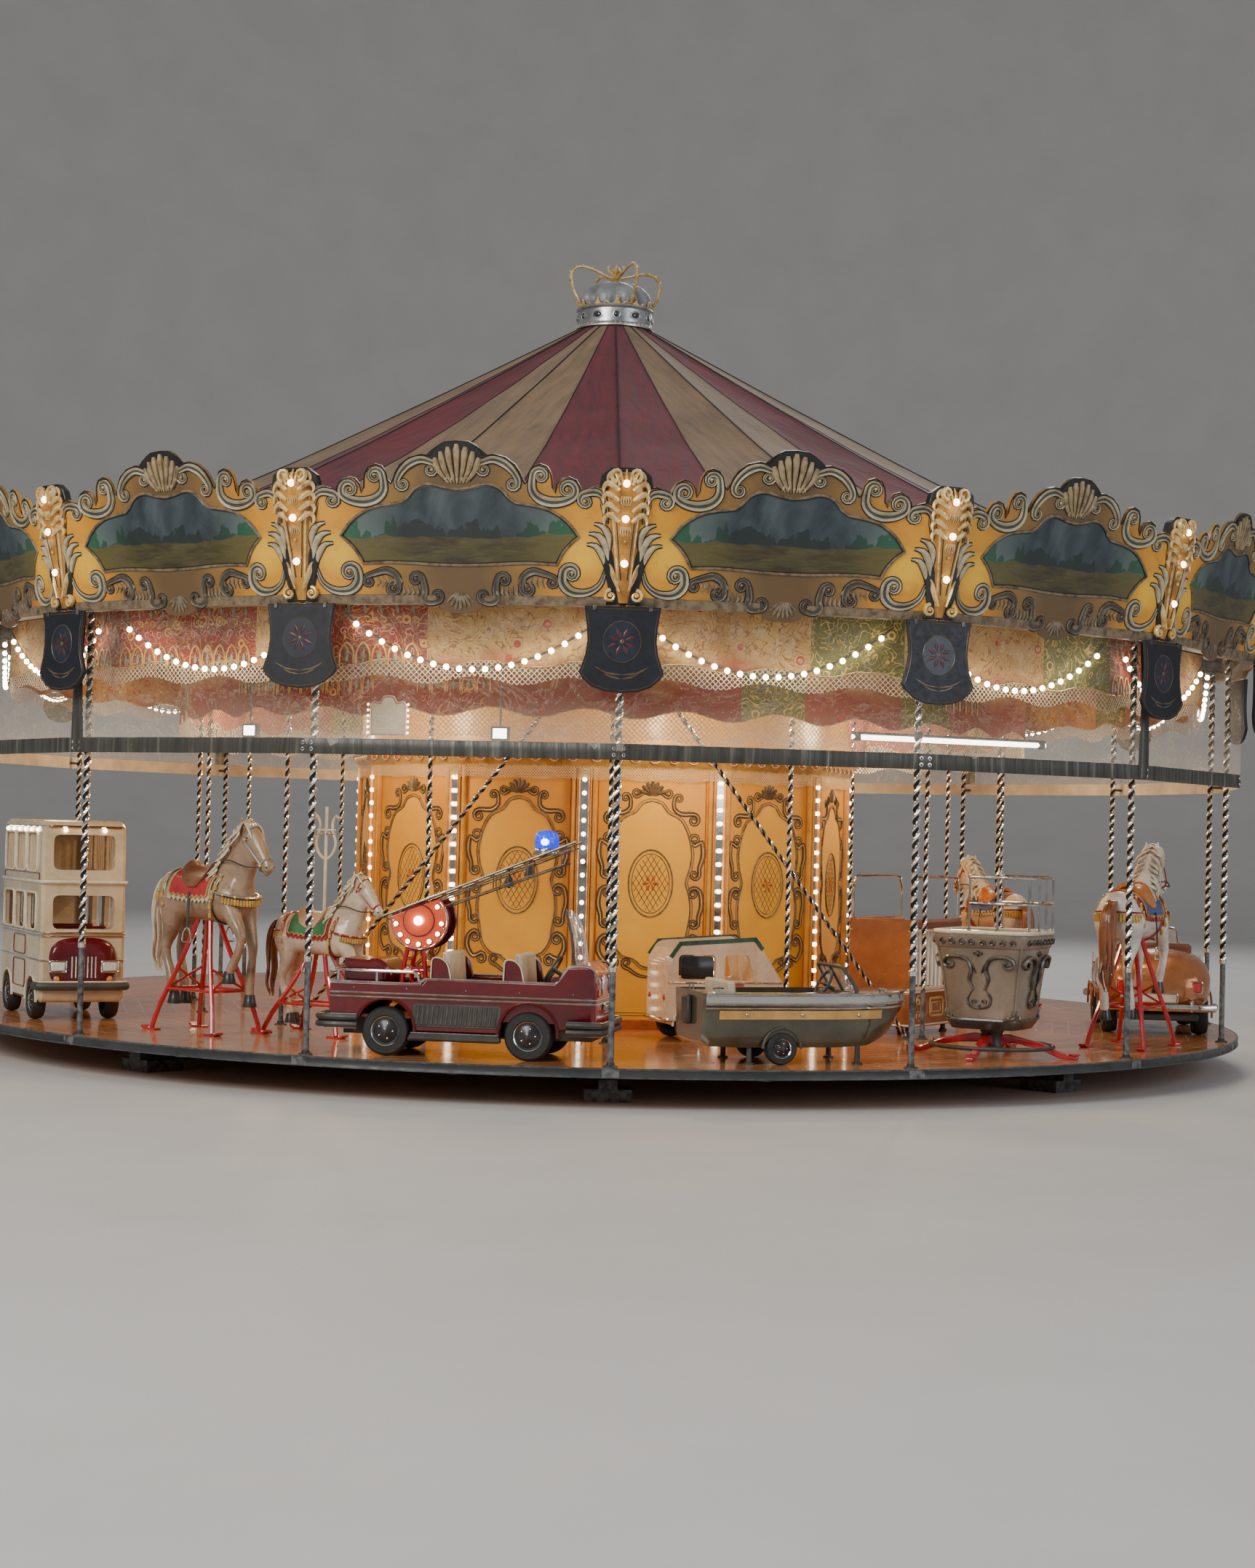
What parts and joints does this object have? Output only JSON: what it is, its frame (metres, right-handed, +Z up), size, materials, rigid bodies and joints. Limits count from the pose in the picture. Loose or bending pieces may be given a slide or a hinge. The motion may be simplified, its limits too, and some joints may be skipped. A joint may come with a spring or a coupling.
{
  "type": "fairground carousel",
  "caption": "Round fairground carousel with a turning deck hung on twisted poles, a striped canvas roof with a crown, painted rounding boards and children's rides.",
  "frame": {"origin": "on the ground at the turning axis, under the centre of the base frame", "axes": "+Z up along the turning axis, -Y towards the viewer with one outer pole on it, +X to the viewer's right"},
  "size_m": [10.7, 10.7, 6.32],
  "materials": {
    "dark_steel": "satin",
    "grey_paint": "satin",
    "deck_planks": "varnished",
    "drum_panels": "painted board, gloss",
    "gilt_paint": "gilt paint, semi-gloss",
    "crown_silver": "silver paint, worn",
    "canopy_canvas": "coated canvas",
    "clear_curtain": "clear sheet, creased",
    "valance_cloth": "embroidered cloth",
    "bright_metal": "bright plated",
    "red_paint": "gloss",
    "grey_gloss": "gloss paint",
    "boat_paint": "gloss paint",
    "copper_paint": "metallic gloss",
    "cream_paint": "gloss",
    "gold_paint": "semi-gloss",
    "white_horse_paint": "gloss paint",
    "brown_horse_paint": "gloss paint",
    "cream_horse_paint": "gloss paint"
  },
  "bodies": {
    "centre": {"base_frame": "dark_steel", "centre_mast": "dark_steel", "drum_wall": "drum_panels", "drum_cornice": "gilt_paint"},
    "platform": {"deck": "deck_planks", "rim_hoop": "grey_paint", "top_hub": "dark_steel", "outer_pole_00": "bright_metal", "sweep_00": "bright_metal", "outer_pole_01": "bright_metal", "sweep_01": "bright_metal", "outer_pole_02": "bright_metal", "sweep_02": "bright_metal", "outer_pole_03": "bright_metal", "sweep_03": "bright_metal", "outer_pole_04": "bright_metal", "sweep_04": "bright_metal", "outer_pole_05": "bright_metal", "sweep_05": "bright_metal", "outer_pole_06": "bright_metal", "sweep_06": "bright_metal", "outer_pole_07": "bright_metal", "sweep_07": "bright_metal", "outer_pole_08": "bright_metal", "sweep_08": "bright_metal", "outer_pole_09": "bright_metal", "sweep_09": "bright_metal", "outer_pole_10": "bright_metal", "sweep_10": "bright_metal", "outer_pole_11": "bright_metal", "sweep_11": "bright_metal", "outer_pole_12": "bright_metal", "sweep_12": "bright_metal", "outer_pole_13": "bright_metal", "sweep_13": "bright_metal", "outer_pole_14": "bright_metal", "sweep_14": "bright_metal", "outer_pole_15": "bright_metal", "sweep_15": "bright_metal", "roof_canopy": "canopy_canvas", "crown": "crown_silver", "rounding_boards": "gilt_paint", "weather_curtain": "clear_curtain", "outer_valance": "valance_cloth", "inner_valance": "valance_cloth", "fire_engine": "red_paint", "fire_engine_ladder": "red_paint", "gondola_base": "red_paint", "motor_boat": "boat_paint", "sports_car": "copper_paint", "double_decker_bus": "cream_paint", "circus_wagon": "gold_paint", "camper_van": "cream_paint", "white_horse": "white_horse_paint", "brown_horse": "brown_horse_paint", "cream_horse": "cream_horse_paint", "back_horse": "cream_horse_paint", "back_boat": "boat_paint", "back_car": "copper_paint"},
    "gondola": {"gondola_tub": "grey_gloss"}
  },
  "joints": [
    {"name": "platform_turn", "type": "hinge", "parent": "centre", "child": "platform", "pos_m": [0, 0, 0], "axis": [0, 0, 1], "continuous": true},
    {"name": "gondola_spin", "type": "hinge", "parent": "platform", "child": "gondola", "pos_m": [2.59984, -3.45011, 0], "axis": [0, 0, 1], "continuous": true}
  ]
}
